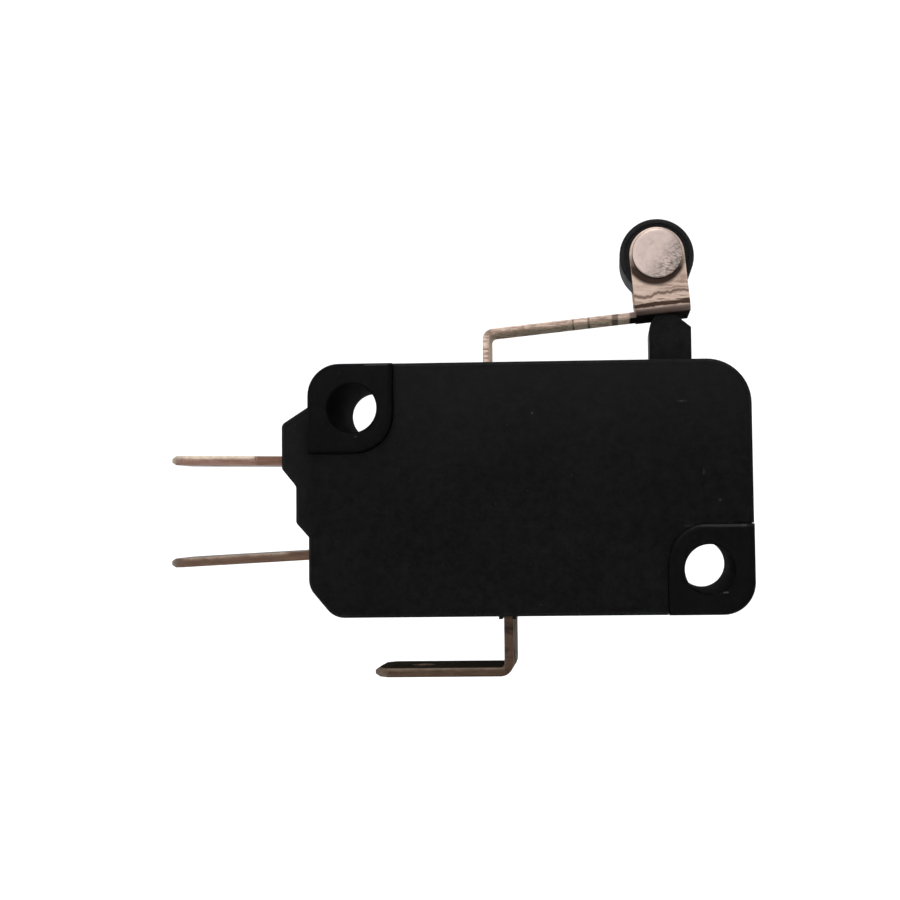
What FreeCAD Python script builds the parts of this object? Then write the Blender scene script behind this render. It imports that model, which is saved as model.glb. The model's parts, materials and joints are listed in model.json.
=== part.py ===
import FreeCAD, Part
import math
import os

# Lever micro switch, in millimetres. X runs along the case, Y is its thickness with the cover at -Y,
# and Z points out past the plunger. The origin is on the axis of the lower mounting hole, halfway
# through the case.

# How far every cutter runs past what it cuts
overcut = 1.0

# Mounting holes, and the case around them
hole_pitch_x = 22.2
hole_pitch_z = 10.3
hole_diameter = 3.1
hole_rim_ease = 0.1
hole_to_side = 2.8
hole_to_edge = 2.8
case_thickness = 10.3
wall = 1.2
back_wall = 1.3
cover_thickness = 1.4
pad_proud = 0.3
corner_upper_right = 2.8
corner_lower_right = 2.0
corner_upper_left = 2.0
lower_left_cut_length = 1.6
lower_left_cut_height = 1.9
lower_left_cut_round = 1.4
cavity_corner = 0.8
face_ease = 0.2
seam_ease = 0.1
seam_gap = 0.04
lip_depth = 0.5
lip_width = 0.7

# Full-thickness corner bosses that hold the mounting holes
boss_reach_x = 2.55
boss_reach_z = 2.8
boss_corner = 2.4

# Stepped block at the terminal end, from the rounded corner down
block_reach = 1.7
block_step = 0.8
block_under_corner = 0.65
block_slope_height = 1.1
block_face_height = 2.8
block_step_height = 2.3
block_foot_height = 0.9
block_round = 0.4

# Terminals
tab_width = 4.75
strip_thickness = 0.58
tab_reach = 9.55
tab_root_depth = 0.4
tab_corner_cut = 0.9
tab_bevel = 0.17
tab_bevel_run = 0.34
tab_hole_diameter = 1.4
tab_hole_from_tip = 2.9
slot_gap = 0.03
shoulder_gap = 0.1
side_shoulder_length = 0.3
common_shoulder_length = 0.6
upper_tab_under_boss = 0.1
upper_tab_lift = 0.15
lower_tab_height = 3.85
lower_tab_droop = 0.45
jog_run = 0.9
common_drop = 3.65
common_tab_length = 8.65
common_bend = 0.55
common_collar = 0.25
common_collar_width = 0.25
common_rib = 1.0
common_rib_width = 0.5
strip_bend = 0.45

# Actuating lever, roller and rivet
lever_from_left = 11.0
pivot_depth = 1.2
lever_thickness = 0.4
lever_width = 3.2
lever_slope = 5.7
lever_travel = 10.0
arm_over_pivot = 3.2
lever_bend = 0.5
trunnion_end_gap = 0.55
trunnion_height = 0.6
trunnion_gap = 0.045
pivot_cheek = 0.75
roller_diameter = 4.8
roller_width = 4.8
roller_ease = 0.3
roller_side_gap = 0.05
roller_bore_gap = 0.05
roller_before_plunger = 0.78
roller_over_arm = 3.77
ear_radius = 1.76
ear_bend = 0.3
rivet_diameter = 1.6
rivet_head_diameter = 3.2
rivet_head_height = 0.6
rivet_tail_diameter = 2.6
rivet_tail_height = 0.4
rivet_ease = 0.2

# Plunger
plunger_from_right = 4.9
plunger_width = 2.7
plunger_depth = 4.2
plunger_gap = 0.06
crown_width = 1.36
crown_offset = 0.25
crown_slope = 12.0
crown_radius = 3.0
crown_edge_round = 0.1
shoulder_drop = 0.75
long_shoulder_drop = 0.5
long_shoulder_round = 1.5
flange_reach = 0.55
flange_height = 0.9
guide_height = 2.0
guide_wall = 0.9
touch_gap = 0.04

# Snap mechanism
fulcrum_under_boss = 3.5
blade_thickness = 0.3
blade_tilt = 3.2
blade_length = 7.5
blade_end = 1.7
blade_rail = 0.8
notch_depth = 0.13
knife_gap = 0.04
fork_top = 1.25
fork_bottom = 1.5
trip_under_fulcrum = 2.8
trip_thickness = 0.4
trip_width = 3.4
trip_incline = 43.0
trip_incline_length = 6.2
trip_slope = 5.8
trip_end = 1.5
trip_bend = 0.8
spring_radius = 0.75
spring_wire = 0.25
spring_turns = 7
wire_sides = 6
spring_over_fulcrum = 0.35
spring_side_gap = 0.325
spring_under_gap = 0.12
hook_bar = 0.4
hook_gap = 0.09
hook_side_gap = 0.28
hook_to_contact = 1.0

# Contacts
fixed_contact_diameter = 3.2
moving_contact_diameter = 3.0
contact_height = 0.6
contact_ease = 0.15
contact_shank = 1.5
contact_tail_diameter = 2.2
contact_tail_height = 0.2
contact_gap = 0.02
arm_end = 0.5
rib_width = 0.72
rib_gap = 0.1

# Planes and places that follow from the sizes above
right = hole_to_side
left = -hole_pitch_x - hole_to_side
bottom = -hole_to_edge
top = hole_pitch_z + hole_to_edge
front = -case_thickness / 2
back = case_thickness / 2
cover_face = front + pad_proud
seam = cover_face + cover_thickness
half_tab = tab_width / 2
half_strip = strip_thickness / 2

lever_x = left + lever_from_left
plunger_x = right - plunger_from_right
pivot_z = top - pivot_depth
trunnion_half = -seam - trunnion_end_gap
upper_boss_z = hole_pitch_z - boss_reach_z
upper_tab_z = upper_boss_z - upper_tab_under_boss - half_strip
lower_tab_z = bottom + lower_tab_height

jog_start = left + wall + slot_gap + strip_bend / 2
jog_end = jog_start + jog_run
rib_start = jog_end + strip_bend / 2
contact_x = rib_start + rib_width + rib_gap + contact_tail_diameter / 2
blade_run = blade_length * math.cos(math.radians(blade_tilt))
fulcrum = (contact_x + blade_run, upper_boss_z - fulcrum_under_boss)
common_x = fulcrum[0] + blade_thickness / 2 - notch_depth + knife_gap + half_strip
trip_x = common_x + half_strip + trip_thickness / 2 - notch_depth + knife_gap
trip_pivot = (trip_x, fulcrum[1] - trip_under_fulcrum)
spring_half = spring_radius + spring_wire / 2
spring_room = spring_half + spring_side_gap
blade_width = 2 * (spring_room + blade_rail)
hook_slot = spring_radius + spring_wire
hook_slot_width = spring_wire + 2 * hook_side_gap
hook_play = spring_radius - spring_wire / 2 - math.hypot(hook_bar, trip_thickness) / 2 - hook_gap
blade_hook = blade_length - moving_contact_diameter / 2 - hook_to_contact

UP = FreeCAD.Vector(0, 0, 1)
THROUGH = FreeCAD.Vector(0, 1, 0)
ALONG = FreeCAD.Vector(1, 0, 0)


def point(place, y=0.0):
    """The space point over a place (x, z)."""
    return FreeCAD.Vector(place[0], y, place[1])


def direction(start, end):
    """The unit step from one place (x, z) to another."""
    reach = math.dist(start, end)
    return ((end[0] - start[0]) / reach, (end[1] - start[1]) / reach)


def step(place, heading, distance):
    """The place reached from another by a distance along a heading in degrees above +X."""
    angle = math.radians(heading)
    return (place[0] + distance * math.cos(angle), place[1] + distance * math.sin(angle))


def box(x_range, y_range, z_range):
    """A block between two values on each axis."""
    low = FreeCAD.Vector(x_range[0], y_range[0], z_range[0])
    return Part.makeBox(x_range[1] - x_range[0], y_range[1] - y_range[0], z_range[1] - z_range[0], low)


def pin(place, y_range, diameter):
    """A round bar along Y over a place (x, z)."""
    return Part.makeCylinder(diameter / 2, y_range[1] - y_range[0], point(place, y_range[0]), THROUGH)


def post(x, z_range, diameter):
    """A round bar along Z in the middle of the thickness."""
    return Part.makeCylinder(diameter / 2, z_range[1] - z_range[0], FreeCAD.Vector(x, 0, z_range[0]), UP)


def corner_arc(before, corner, after, radius):
    """Where a rounding of a corner starts, its middle and its end."""
    back_way = direction(corner, before)
    ahead = direction(corner, after)
    half = math.acos(back_way[0] * ahead[0] + back_way[1] * ahead[1]) / 2
    cut = radius / math.tan(half)
    start = (corner[0] + back_way[0] * cut, corner[1] + back_way[1] * cut)
    end = (corner[0] + ahead[0] * cut, corner[1] + ahead[1] * cut)
    inward = direction(corner, ((start[0] + end[0]) / 2, (start[1] + end[1]) / 2))
    depth = radius / math.sin(half) - radius
    return start, (corner[0] + inward[0] * depth, corner[1] + inward[1] * depth), end


def outline(corners, y):
    """A flat face at y. Each corner is (x, z, radius), and a radius of 0 leaves it sharp."""
    edges = []
    stretches = []
    for index, (x, z, radius) in enumerate(corners):
        corner = (x, z)
        if radius == 0:
            stretches.append((corner, corner))
            continue
        after = corners[(index + 1) % len(corners)][:2]
        start, middle, end = corner_arc(corners[index - 1][:2], corner, after, radius)
        edges.append(Part.Arc(point(start, y), point(middle, y), point(end, y)).toShape())
        stretches.append((start, end))
    for (_, leave), (arrive, _) in zip(stretches, stretches[1:] + stretches[:1]):
        if math.dist(leave, arrive) > 1e-6:
            edges.append(Part.LineSegment(point(leave, y), point(arrive, y)).toShape())
    return Part.Face(Part.Wire(Part.__sortEdges__(edges)))


def prism(corners, y_range):
    """An outline carried through the thickness."""
    return outline(corners, y_range[0]).extrude(FreeCAD.Vector(0, y_range[1] - y_range[0], 0))


def rim_edges(solid, y):
    """The edges of a solid that lie in the plane at y."""
    return [edge for edge in solid.Edges if all(abs(v.Y - y) < 1e-6 for v in edge.Vertexes)]


def bevelled(solid, y, size):
    """The solid with its edges in the plane at y cut at 45 degrees."""
    return solid.makeChamfer(size, rim_edges(solid, y))


def strip_side(path, offset, bend):
    """The corners of one long side of a bent strip, at an offset to the left of its path."""
    corners = []
    for index, at in enumerate(path):
        ways = []
        if index > 0:
            ways.append(direction(path[index - 1], at))
        if index < len(path) - 1:
            ways.append(direction(at, path[index + 1]))
        first, last = ways[0], ways[-1]
        turn = first[0] * last[1] - first[1] * last[0]
        share = offset / (1 + first[0] * last[0] + first[1] * last[1])
        x = at[0] - (first[1] + last[1]) * share
        z = at[1] + (first[0] + last[0]) * share
        radius = 0 if len(ways) == 1 else bend - math.copysign(offset, offset * turn)
        corners.append((x, z, radius))
    return corners


def strip(path, thickness, bend, width):
    """A strip of sheet metal bent along a path in the middle of its thickness."""
    sides = strip_side(path, thickness / 2, bend) + strip_side(path, -thickness / 2, bend)[::-1]
    return prism(sides, (-width / 2, width / 2))


def tilted(solid, about, degrees):
    """The solid turned about a Y axis, which lowers what lies towards +X."""
    return solid.rotate(point(about), THROUGH, degrees)


def upper_hole():
    """The place of the upper mounting hole."""
    return (-hole_pitch_x, hole_pitch_z)


def case_corners():
    """The outline that the case and the cover share, with the stepped block at the terminal end."""
    outer = left - block_reach
    middle = left - block_step
    block_top = top - corner_upper_left - block_under_corner
    face_top = block_top - block_slope_height
    face_low = face_top - block_face_height
    step_top = face_low - block_slope_height
    step_low = step_top - block_step_height
    return [
        (right, top, corner_upper_right),
        (left, top, corner_upper_left),
        (left, block_top, 0),
        (outer, face_top, block_round),
        (outer, face_low, block_round),
        (middle, step_top, block_round),
        (middle, step_low, block_round),
        (left, step_low - block_foot_height, 0),
        (left, bottom + lower_left_cut_height, lower_left_cut_round),
        (left + lower_left_cut_length, bottom, lower_left_cut_round),
        (right, bottom, corner_lower_right),
    ]


def boss_corners(gap):
    """The outlines of the two corner bosses, grown by a gap, out past the corners of the case."""
    outside = block_reach
    inner_x = upper_hole()[0] + boss_reach_x + gap
    inner_z = upper_boss_z - gap
    upper = [
        (left - gap, inner_z, 0),
        (inner_x, inner_z, boss_corner),
        (inner_x, top + outside, 0),
        (left - gap, top + outside, 0),
    ]
    lower = [
        (right + outside, boss_reach_z + gap, 0),
        (-boss_reach_x - gap, boss_reach_z + gap, boss_corner),
        (-boss_reach_x - gap, bottom - outside, 0),
        (right + outside, bottom - outside, 0),
    ]
    return upper, lower


def cavity(gap, y_range):
    """The room inside the walls, drawn in by a gap."""
    inset = wall + gap
    corners = [
        (right - inset, top - inset, cavity_corner),
        (left + inset, top - inset, cavity_corner),
        (left + inset, bottom + inset, cavity_corner),
        (right - inset, bottom + inset, cavity_corner),
    ]
    return prism(corners, y_range)


def lever_swing():
    """How far the lever's foot leans at the top of the case when the lever is pressed home."""
    return pivot_depth * math.tan(math.radians(lever_travel))


def wall_slots():
    """The slots that open to the seam: their X and Z ranges and half the depth of what they hold."""
    strip_half = half_strip + slot_gap
    plunger_half = plunger_width / 2 + plunger_gap
    foot_half = lever_thickness / 2 + plunger_gap
    outer = left - block_reach - overcut
    inner = left + wall
    return [
        ((outer, inner), (upper_tab_z - strip_half, upper_tab_z + strip_half), half_tab + slot_gap),
        ((outer, inner), (lower_tab_z - strip_half, lower_tab_z + strip_half), half_tab + slot_gap),
        (
            (common_x - strip_half, common_x + strip_half),
            (bottom - common_collar - overcut, bottom + wall + common_rib),
            half_tab + slot_gap,
        ),
        (
            (plunger_x - plunger_half, plunger_x + plunger_half),
            (top - wall - guide_height, top + overcut),
            plunger_depth / 2 + plunger_gap,
        ),
        (
            (lever_x - foot_half, lever_x + foot_half + lever_swing()),
            (pivot_z + trunnion_height / 2, top + overcut),
            lever_width / 2 + plunger_gap,
        ),
    ]


def lever_pocket(gap):
    """The round seat of the lever's trunnions, open to the seam."""
    diameter = math.hypot(lever_thickness, trunnion_height) + 2 * trunnion_gap - 2 * gap
    return pin((lever_x, pivot_z), (seam - lip_depth, trunnion_half + trunnion_gap), diameter)


def case_ribs():
    """What stands inside the case: the lever's seat, the plunger's guide and the terminals' supports."""
    depth = (seam, back)
    guide_half = plunger_width / 2 + plunger_gap + guide_wall
    ceiling = top - wall / 2
    floor = bottom + wall / 2
    seat_low = pivot_z - trunnion_height / 2 - pivot_cheek
    seat_half = trunnion_height / 2 + pivot_cheek
    arm_ribs = (rib_start, rib_start + rib_width)
    collar_half = half_strip + common_collar_width
    rib_half = half_strip + common_rib_width
    return [
        box((lever_x - seat_half, lever_x + seat_half + lever_swing()), depth, (seat_low, ceiling)),
        box((plunger_x - guide_half, plunger_x + guide_half), depth, (top - wall - guide_height, ceiling)),
        box((common_x - rib_half, common_x + rib_half), depth, (floor, bottom + wall + common_rib)),
        box((common_x - collar_half, common_x + collar_half), depth, (bottom - common_collar, floor)),
        box(arm_ribs, depth, (upper_arm_z() + half_strip, upper_boss_z + boss_reach_z / 2)),
        box(arm_ribs, depth, (floor, lower_arm_z() - half_strip)),
    ]


def mounting_holes():
    """The two through holes with their eased rims."""
    cutters = []
    for place in ((0, 0), upper_hole()):
        cutters.append(pin(place, (front - overcut, back + overcut), hole_diameter))
        for rim, outward in ((front, -1), (back, 1)):
            narrow = hole_diameter / 2
            cutters.append(
                Part.makeCone(
                    narrow + 2 * hole_rim_ease,
                    narrow,
                    2 * hole_rim_ease,
                    point(place, rim + outward * hole_rim_ease),
                    THROUGH * -outward,
                )
            )
    return cutters


def bosses():
    """The two corner bosses, which stand proud of the cover."""
    block = prism(case_corners(), (front, back))
    whole = [block.common(prism(corners, (front, back))) for corners in boss_corners(0)]
    return [bevelled(bevelled(boss, front, face_ease / 2), back, face_ease) for boss in whole]


def case():
    """The moulded tub with its back wall, corner bosses and ribs."""
    shell = bevelled(bevelled(prism(case_corners(), (seam, back)), back, face_ease), seam, seam_ease)
    shell = shell.cut(cavity(0, (seam - overcut, back - back_wall)))
    shell = shell.fuse(case_ribs() + bosses())
    slots = [box(x, (seam - overcut, half), z) for x, z, half in wall_slots()]
    shell = shell.cut(slots + [lever_pocket(0)] + mounting_holes())
    return shell.removeSplitter()


def cover():
    """The cover plate, cut out round the bosses, with its lip and the tongues that close the slots."""
    plate = prism(case_corners(), (cover_face, seam))
    plate = bevelled(bevelled(plate, cover_face, face_ease), seam, seam_ease)
    lip = cavity(seam_gap, (seam - cover_thickness / 2, seam + lip_depth))
    lip = lip.cut(cavity(seam_gap + lip_width, (seam, seam + lip_depth + overcut)))
    grown = [prism(corners, (front - overcut, back)) for corners in boss_corners(seam_gap)]
    block = prism(case_corners(), (seam - cover_thickness / 2, back))
    lip = lip.cut([rib_room(rib) for rib in case_ribs()])
    tongues = [slot_tongue(x, z, half).common(block) for x, z, half in wall_slots()]
    return plate.fuse([lip] + tongues).cut(grown).removeSplitter()


def rib_room(rib):
    """The room that a rib of the case needs in the cover's lip."""
    bounds = rib.BoundBox
    return box(
        (bounds.XMin - seam_gap, bounds.XMax + seam_gap),
        (seam, back),
        (bounds.ZMin - seam_gap, bounds.ZMax + seam_gap),
    )


def slot_tongue(x_range, z_range, half):
    """The tongue of the cover that closes a slot down to the piece that it holds."""
    return box(
        (x_range[0] + seam_gap, x_range[1] - seam_gap),
        (seam - cover_thickness / 2, -half),
        (z_range[0] + seam_gap, z_range[1] - seam_gap),
    )


def contact_rise():
    """How far the moving contact's centre lies over the fulcrum at rest."""
    return blade_length * math.sin(math.radians(blade_tilt))


def contact_reach():
    """From the middle of the tilted blade to the fixed contact's face."""
    tilt = math.radians(blade_tilt)
    edge = (moving_contact_diameter / 2 - contact_ease) * math.sin(tilt)
    return (blade_thickness / 2 + contact_height) * math.cos(tilt) + edge + contact_gap


def upper_face_z():
    return fulcrum[1] + contact_rise() + contact_reach()


def lower_face_z():
    return fulcrum[1] - contact_rise() - contact_reach()


def upper_arm_z():
    return upper_face_z() + contact_height + half_strip


def lower_arm_z():
    return lower_face_z() - contact_height - half_strip


def tab_cutter(tip, inward):
    """What a tab loses at its tip: two corners, two thin bevels and the detent hole, seen from +Z."""
    x, z = tip
    cutters = []
    for side in (-1, 1):
        edge = side * half_tab
        wedge = [
            FreeCAD.Vector(x, edge, z - overcut),
            FreeCAD.Vector(x + inward * tab_corner_cut, edge, z - overcut),
            FreeCAD.Vector(x, edge - side * tab_corner_cut, z - overcut),
        ]
        face = Part.Face(Part.makePolygon(wedge + wedge[:1]))
        cutters.append(face.extrude(UP * 2))
        flat = z + side * half_strip
        bevel = [
            (x, flat, 0),
            (x + inward * tab_bevel_run, flat, 0),
            (x, flat - side * tab_bevel, 0),
        ]
        cutters.append(prism(bevel, (-tab_width, tab_width)))
    hole_x = x + inward * tab_hole_from_tip
    cutters.append(post(hole_x, (z - overcut, z + overcut), tab_hole_diameter))
    return cutters


def shoulder_half():
    """Half the width over a terminal's shoulders, which stay clear of the cover's lip."""
    return -(seam + lip_depth) - shoulder_gap


def side_terminal(tab_z, arm_z, droop):
    """A terminal that leaves at the left, with its shoulders inside the wall and its contact arm."""
    tip = (left - tab_reach, tab_z)
    inside = left + wall + slot_gap
    path = [
        (left - tab_root_depth, tab_z),
        (jog_start, tab_z),
        (jog_end, arm_z),
        (contact_x + contact_tail_diameter / 2 + arm_end, arm_z),
    ]
    arm = strip(path, strip_thickness, strip_bend, tab_width)
    shoulders = box(
        (inside, inside + side_shoulder_length),
        (-shoulder_half(), shoulder_half()),
        (tab_z - half_strip, tab_z + half_strip),
    )
    tab = strip([tip, path[0]], strip_thickness, strip_bend, tab_width).cut(tab_cutter(tip, 1))
    tab = tilted(tab, path[0], -math.degrees(math.atan2(droop, tab_reach)))
    hole = post(contact_x, (arm_z - overcut, arm_z + overcut), contact_shank)
    return arm.fuse([shoulders, tab]).cut(hole).removeSplitter()


def common_terminal():
    """The bent terminal whose forked inner end carries the blade and the trip lever."""
    tab_z = bottom - common_drop
    tip = (common_x - common_tab_length, tab_z)
    shoulder_low = bottom + wall + common_rib + slot_gap
    path = [tip, (common_x, tab_z), (common_x, fulcrum[1] + fork_top)]
    whole = strip(path, strip_thickness, common_bend, tab_width)
    fork = box(
        (common_x - overcut, common_x + overcut),
        (-spring_room, spring_room),
        (fulcrum[1] - fork_bottom, fulcrum[1] + fork_top + overcut),
    )
    shoulders = box(
        (common_x - half_strip, common_x + half_strip),
        (-shoulder_half(), shoulder_half()),
        (shoulder_low, shoulder_low + common_shoulder_length),
    )
    notches = [
        pin(fulcrum, (-tab_width, tab_width), blade_thickness + 2 * knife_gap),
        pin(trip_pivot, (-tab_width, tab_width), trip_thickness + 2 * knife_gap),
    ]
    return whole.fuse(shoulders).cut([fork] + notches + tab_cutter(tip, 1)).removeSplitter()


def contact_rivet(x, face_z, arm_z, diameter):
    """A fixed contact: head, shank through the arm and the tail spread behind it."""
    away = math.copysign(1, arm_z - face_z)
    base = face_z + away * contact_height
    far = base + away * strip_thickness
    tail = far + away * contact_tail_height
    head = Part.makeCylinder(diameter / 2, contact_height, FreeCAD.Vector(x, 0, face_z), UP * away)
    rim = [edge for edge in head.Edges if abs(edge.BoundBox.Center.z - face_z) < 1e-6]
    head = head.makeChamfer(contact_ease, rim)
    shank = post(x, sorted((base, far)), contact_shank)
    return head.fuse([shank, post(x, sorted((far, tail)), contact_tail_diameter)]).removeSplitter()


def moving_contact():
    """The double contact rivet at the free end of the blade."""
    x = fulcrum[0] - blade_length
    middle = fulcrum[1]
    heads = []
    for side in (-1, 1):
        face_z = middle + side * (blade_thickness / 2 + contact_height)
        start = FreeCAD.Vector(x, 0, face_z)
        head = Part.makeCylinder(moving_contact_diameter / 2, contact_height, start, UP * -side)
        rim = [edge for edge in head.Edges if abs(edge.BoundBox.Center.z - face_z) < 1e-6]
        heads.append(head.makeChamfer(contact_ease, rim))
    shank = post(x, (middle - blade_thickness / 2, middle + blade_thickness / 2), contact_shank)
    return tilted(shank.fuse(heads).removeSplitter(), fulcrum, blade_tilt)


def contact_blade():
    """The blade that carries the moving contact: two rails, the hook bar and the contact end."""
    middle = fulcrum[1]
    half = blade_thickness / 2
    hook_x = fulcrum[0] - blade_hook
    end_x = fulcrum[0] - blade_length - blade_end
    corners = [
        (fulcrum[0], middle - half, 0),
        (fulcrum[0], middle + half, 0),
        (end_x, middle + half, 0),
        (end_x, middle - half, 0),
    ]
    plate = prism(corners, (-blade_width / 2, blade_width / 2))
    plate = plate.fuse(pin(fulcrum, (-blade_width / 2, blade_width / 2), blade_thickness))
    height = (middle - overcut, middle + overcut)
    window = box((hook_x + hook_bar / 2, fulcrum[0] + overcut), (-spring_room, spring_room), height)
    slot_end = hook_x - spring_half + hook_play - hook_gap
    slot = box((slot_end, hook_x - hook_bar / 2), (-hook_slot_width / 2, hook_slot_width / 2), height)
    hole = post(fulcrum[0] - blade_length, height, contact_shank)
    return tilted(plate.cut([window, slot, hole]).removeSplitter(), fulcrum, blade_tilt)


def trip_hook_distance():
    """From the trip lever's pivot to its hook bar, along the inclined stretch."""
    rise = fulcrum[1] + spring_over_fulcrum - trip_pivot[1]
    return rise / math.sin(math.radians(trip_incline))


def trip_corner():
    """Where the trip lever bends from its incline to the stretch under the plunger."""
    return step(trip_pivot, trip_incline, trip_incline_length)


def trip_lever():
    """The inner lever from the common terminal to the plunger, with the bar that holds the spring."""
    corner = trip_corner()
    run = (plunger_x + trip_end - corner[0]) / math.cos(math.radians(trip_slope))
    path = [trip_pivot, corner, step(corner, trip_slope, run)]
    bar = strip(path, trip_thickness, trip_bend, trip_width)
    bar = bar.fuse(pin(trip_pivot, (-trip_width / 2, trip_width / 2), trip_thickness))
    hook = trip_pivot[0] + trip_hook_distance()
    cutters = []
    for low, high in ((-hook_slot - hook_bar / 2, -hook_bar / 2), (hook_bar / 2, hook_slot + hook_bar / 2)):
        cutters.append(
            box(
                (hook + low, hook + high),
                (-hook_slot_width / 2, hook_slot_width / 2),
                (trip_pivot[1] - overcut, trip_pivot[1] + overcut),
            )
        )
    cutters = [tilted(cutter, trip_pivot, -trip_incline) for cutter in cutters]
    return bar.cut(cutters).removeSplitter()


def spring_ends():
    """The middles of the spring's two hooks, each drawn off its bar by the hook's play."""
    near = step(fulcrum, 180 - blade_tilt, blade_hook)
    far = step(trip_pivot, trip_incline, trip_hook_distance())
    return (near[0] + hook_play, near[1]), (far[0] - hook_play, far[1])


def spring_leg():
    """The straight leg of a hook, long enough for the coil to clear the trip lever's incline."""
    incline = math.radians(trip_incline)
    under = spring_half + trip_thickness / 2 / math.cos(incline)
    return under / math.tan(incline) - hook_play + spring_under_gap


def wire_section(y_low=False):
    """The spring wire's many-sided section at the top of the coil, square to Y or, for a leg, to X."""
    middle = UP * spring_radius
    across = THROUGH if y_low else ALONG
    corners = []
    for side in range(wire_sides + 1):
        angle = 2 * math.pi * side / wire_sides
        corners.append(middle + (across * math.cos(angle) + UP * math.sin(angle)) * (spring_wire / 2))
    return Part.makePolygon(corners)


def spring_hook(outward):
    """An open hook at the origin, its half circle on the outward side and its leg towards the coil."""
    section = Part.Face(wire_section(True))
    ring = section.revolve(FreeCAD.Vector(), THROUGH, 180 * outward)
    leg = section.extrude(ALONG * -outward * (spring_leg() + spring_wire / 2))
    return ring.fuse(leg)


def snap_spring():
    """The tension spring from the blade's hook bar, through the fork, to the trip lever's hook bar."""
    near, far = spring_ends()
    span = math.dist(near, far)
    coil_length = span - 2 * spring_leg()
    helix = Part.makeHelix(coil_length / spring_turns, coil_length, spring_radius)
    start = wire_section()
    start.rotate(FreeCAD.Vector(), THROUGH, 90)
    coil = helix.makePipeShell([start], True, True)
    coil.rotate(FreeCAD.Vector(), THROUGH, -90)
    coil.translate(ALONG * (spring_leg() + coil_length))
    ends = [spring_hook(-1), spring_hook(1).translate(ALONG * span)]
    spring = coil.fuse(ends)
    slope = math.degrees(math.atan2(far[1] - near[1], far[0] - near[0]))
    spring.translate(point(near))
    return tilted(spring, near, -slope)


def arm_under(x):
    """The height of the lever arm's underside over a place on X, at rest."""
    return pivot_z + arm_over_pivot + (x - lever_x) * math.tan(math.radians(lever_slope))


def roller_axis():
    """The place of the roller's axis at rest."""
    slope = math.radians(lever_slope)
    x = plunger_x - roller_before_plunger
    under = arm_under(x)
    return (x, under + roller_over_arm / math.cos(slope))


def lever_fork():
    """The two ears that carry the roller, folded up from the end of the arm."""
    inner = roller_width / 2 + roller_side_gap
    outer = inner + lever_thickness
    low = 0.0
    high = roller_over_arm + ear_radius + overcut
    shell = box((-ear_radius, ear_radius), (-outer, outer), (low, high))
    around = (-ear_radius - overcut, ear_radius + overcut)
    room = box(around, (-inner, inner), (lever_thickness, high + overcut))
    outside = [e for e in shell.Edges if is_along_x(e) and e.BoundBox.ZMax < low + 0.01]
    inside = [e for e in room.Edges if is_along_x(e) and e.BoundBox.ZMax < lever_thickness + 0.01]
    shell = shell.makeFillet(ear_bend + lever_thickness, outside).cut(room.makeFillet(ear_bend, inside))
    axis = (0, roller_over_arm)
    profile = prism(
        [
            (-ear_radius, 0, 0),
            (-ear_radius, roller_over_arm + ear_radius, ear_radius),
            (ear_radius, roller_over_arm + ear_radius, ear_radius),
            (ear_radius, 0, 0),
        ],
        (-outer, outer),
    )
    fork = shell.common(profile).cut(pin(axis, (-outer - overcut, outer + overcut), rivet_diameter))
    turned = tilted(fork, (0, 0), -lever_slope)
    place = step(roller_axis(), lever_slope - 90, roller_over_arm)
    return turned.translate(point(place))


def is_along_x(edge):
    """Whether an edge is a straight line along X."""
    bounds = edge.BoundBox
    return bounds.XLength > 1e-3 and bounds.YLength < 1e-6 and bounds.ZLength < 1e-6


def actuator_lever():
    """The stamped lever: trunnions and foot in the case, sloping arm and the fork at its end."""
    half = lever_thickness / 2
    slope = math.radians(lever_slope)
    middle_rise = arm_over_pivot + half / math.cos(slope)
    fork_x = roller_axis()[0] + roller_over_arm * math.sin(slope) - lever_x
    path = [
        (lever_x, pivot_z - trunnion_height / 2),
        (lever_x, pivot_z + middle_rise),
        (lever_x + fork_x, pivot_z + middle_rise + fork_x * math.tan(slope)),
    ]
    arm = strip(path, lever_thickness, lever_bend, lever_width)
    trunnions = box(
        (lever_x - half, lever_x + half),
        (-trunnion_half, trunnion_half),
        (pivot_z - trunnion_height / 2, pivot_z + trunnion_height / 2),
    )
    return arm.fuse([trunnions, lever_fork()]).removeSplitter()


def roller():
    """The plastic roller between the ears."""
    half = roller_width / 2
    body = pin(roller_axis(), (-half, half), roller_diameter)
    body = bevelled(bevelled(body, -half, roller_ease), half, roller_ease)
    return body.cut(pin(roller_axis(), (-half, half), rivet_diameter + 2 * roller_bore_gap))


def roller_rivet():
    """The rivet through the ears: formed head in front, spread tail behind."""
    outer = roller_width / 2 + roller_side_gap + lever_thickness
    axis = roller_axis()
    shank = pin(axis, (-outer, outer), rivet_diameter)
    head = pin(axis, (-outer - rivet_head_height, -outer), rivet_head_diameter)
    tail = pin(axis, (outer, outer + rivet_tail_height), rivet_tail_diameter)
    face = -outer - rivet_head_height
    head = head.makeFillet(rivet_ease, rim_edges(head, face))
    tail = bevelled(tail, outer + rivet_tail_height, rivet_ease)
    return shank.fuse([head, tail]).removeSplitter()


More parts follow.
